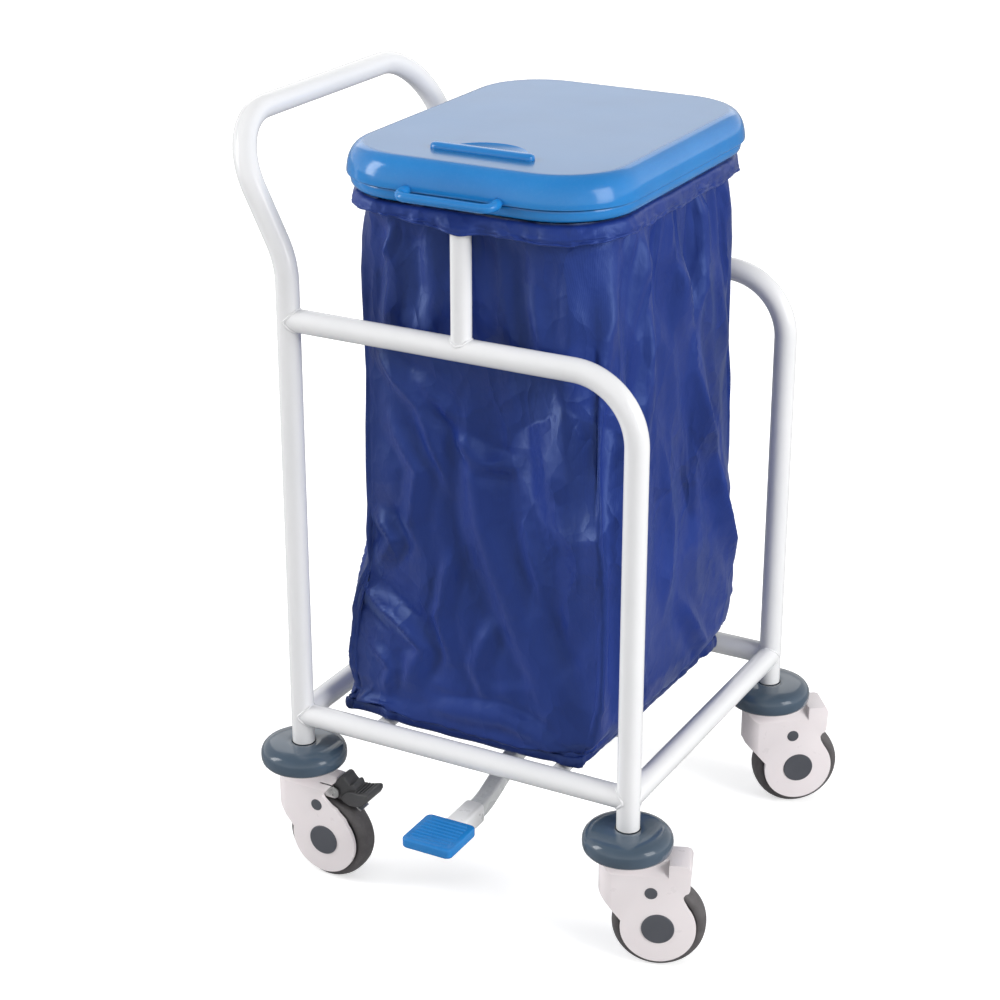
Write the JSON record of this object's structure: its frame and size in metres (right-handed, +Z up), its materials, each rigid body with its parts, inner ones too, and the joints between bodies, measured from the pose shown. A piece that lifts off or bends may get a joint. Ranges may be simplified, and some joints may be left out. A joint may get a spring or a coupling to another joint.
{
  "type": "linen trolley",
  "caption": "Hospital linen trolley: a bent tube frame on swivel casters with bumpers, a hanging fabric bag, and a hinged plastic lid lifted by a foot pedal.",
  "frame": {"origin": "on the floor, under the middle of the trolley's whole footprint, pedal and casters included; the centre of the four legs is 12.5 mm towards +Y from it", "axes": "+Z up; +X from the push handle to the far end; -Y is the pedal side and +Y the lid's hinge side"},
  "size_m": [0.5631, 0.5289, 0.8633],
  "materials": {
    "white_enamel": "glossy white powder coat",
    "blue_abs": "glossy moulded plastic with a fine satin top",
    "blue_fabric": "coated woven fabric with a soft sheen",
    "slate_plastic": "smooth glossy moulded bumper",
    "ivory_plastic": "smooth moulded nylon",
    "dark_plastic": "satin moulded plastic",
    "tyre_rubber": "matt grey-black rubber tread",
    "zinc_steel": "zinc-plated steel"
  },
  "bodies": {
    "frame": {"handle_frame": "white_enamel", "side_hoop_front": "white_enamel", "side_hoop_back": "white_enamel", "base_rail_front": "white_enamel", "base_rail_back": "white_enamel", "base_rail_handle_end": "white_enamel", "base_rail_far_end": "white_enamel", "bag_support_bar_handle_end": "white_enamel", "bag_support_bar_far_end": "white_enamel", "ring_post_front": "white_enamel", "ring_post_back": "white_enamel", "bag_hoop": "white_enamel", "linen_bag": "blue_fabric", "lid_seat_ring": "blue_abs", "hinge_bracket": "white_enamel", "hinge_pin": "zinc_steel", "rod_guide_upper": "white_enamel", "rod_guide_lower": "white_enamel", "pivot_bracket_handle_end": "white_enamel", "pivot_bracket_far_end": "white_enamel", "pivot_shaft": "zinc_steel", "bumper_a": "slate_plastic", "kingpin_a": "zinc_steel", "bumper_b": "slate_plastic", "kingpin_b": "zinc_steel", "bumper_c": "slate_plastic", "kingpin_c": "zinc_steel", "bumper_d": "slate_plastic", "kingpin_d": "zinc_steel"},
    "pedal_lever": {"pedal_lever": "zinc_steel", "lever_pivot_sleeve": "zinc_steel", "pedal_socket": "white_enamel", "pedal_pad": "blue_abs"},
    "push_rod": {"push_rod": "zinc_steel", "push_rod_cap": "dark_plastic"},
    "lid": {"lid": "blue_abs", "lid_hinge_arm": "zinc_steel", "lid_lift_pin": "zinc_steel"},
    "swivel_a": {"hood_a": "ivory_plastic", "axle_a": "dark_plastic", "brake_bracket_a": "zinc_steel"},
    "wheel_a": {"tyre_a": "tyre_rubber", "wheel_core_a": "dark_plastic"},
    "brake_a": {"brake_pedal_a": "dark_plastic"},
    "swivel_b": {"hood_b": "ivory_plastic", "axle_b": "dark_plastic"},
    "wheel_b": {"tyre_b": "tyre_rubber", "wheel_core_b": "dark_plastic"},
    "swivel_c": {"hood_c": "ivory_plastic", "axle_c": "dark_plastic"},
    "wheel_c": {"tyre_c": "tyre_rubber", "wheel_core_c": "dark_plastic"},
    "swivel_d": {"hood_d": "ivory_plastic", "axle_d": "dark_plastic", "brake_bracket_d": "zinc_steel"},
    "wheel_d": {"tyre_d": "tyre_rubber", "wheel_core_d": "dark_plastic"},
    "brake_d": {"brake_pedal_d": "dark_plastic"}
  },
  "joints": [
    {"name": "lid_hinge", "type": "hinge", "parent": "frame", "child": "lid", "pos_m": [0.005, 0.2511, 0.806], "axis": [-1, 0, 0], "range_deg": [0, 75]},
    {"name": "pedal_hinge", "type": "hinge", "parent": "frame", "child": "pedal_lever", "pos_m": [0.005, -0.0075, 0.172], "axis": [1, 0, 0], "range_deg": [0, 8.3]},
    {"name": "push_rod_slide", "type": "slide", "parent": "frame", "child": "push_rod", "axis": [0, 0, 1], "range_m": [0, 0.0347]},
    {"name": "caster_swivel_a", "type": "hinge", "parent": "frame", "child": "swivel_a", "pos_m": [-0.2, -0.1785, 0.12], "axis": [0, 0, 1], "continuous": true},
    {"name": "wheel_spin_a", "type": "hinge", "parent": "swivel_a", "child": "wheel_a", "pos_m": [-0.165, -0.1785, 0.05], "axis": [0, 1, 0], "continuous": true},
    {"name": "brake_hinge_a", "type": "hinge", "parent": "swivel_a", "child": "brake_a", "pos_m": [-0.154, -0.1785, 0.11], "axis": [0, 1, 0], "range_deg": [0, 14]},
    {"name": "caster_swivel_b", "type": "hinge", "parent": "frame", "child": "swivel_b", "pos_m": [0.2, -0.1785, 0.12], "axis": [0, 0, 1], "continuous": true},
    {"name": "wheel_spin_b", "type": "hinge", "parent": "swivel_b", "child": "wheel_b", "pos_m": [0.23267, -0.16596, 0.05], "axis": [-0.3584, 0.9336, 0], "continuous": true},
    {"name": "caster_swivel_c", "type": "hinge", "parent": "frame", "child": "swivel_c", "pos_m": [0.2, 0.2035, 0.12], "axis": [0, 0, 1], "continuous": true},
    {"name": "wheel_spin_c", "type": "hinge", "parent": "swivel_c", "child": "wheel_c", "pos_m": [0.22795, 0.22456, 0.05], "axis": [-0.6018, 0.7986, 0], "continuous": true},
    {"name": "caster_swivel_d", "type": "hinge", "parent": "frame", "child": "swivel_d", "pos_m": [-0.2, 0.2035, 0.12], "axis": [0, 0, 1], "continuous": true},
    {"name": "wheel_spin_d", "type": "hinge", "parent": "swivel_d", "child": "wheel_d", "pos_m": [-0.16534, 0.20837, 0.05], "axis": [-0.1392, 0.9903, 0], "continuous": true},
    {"name": "brake_hinge_d", "type": "hinge", "parent": "swivel_d", "child": "brake_d", "pos_m": [-0.15445, 0.2099, 0.11], "axis": [-0.1392, 0.9903, 0], "range_deg": [0, 14]}
  ],
  "couplings": [
    {"joint": "pedal_hinge", "follows": "lid_hinge", "ratio": 0.11066},
    {"joint": "push_rod_slide", "follows": "lid_hinge", "m_per_rad": 0.0265}
  ]
}
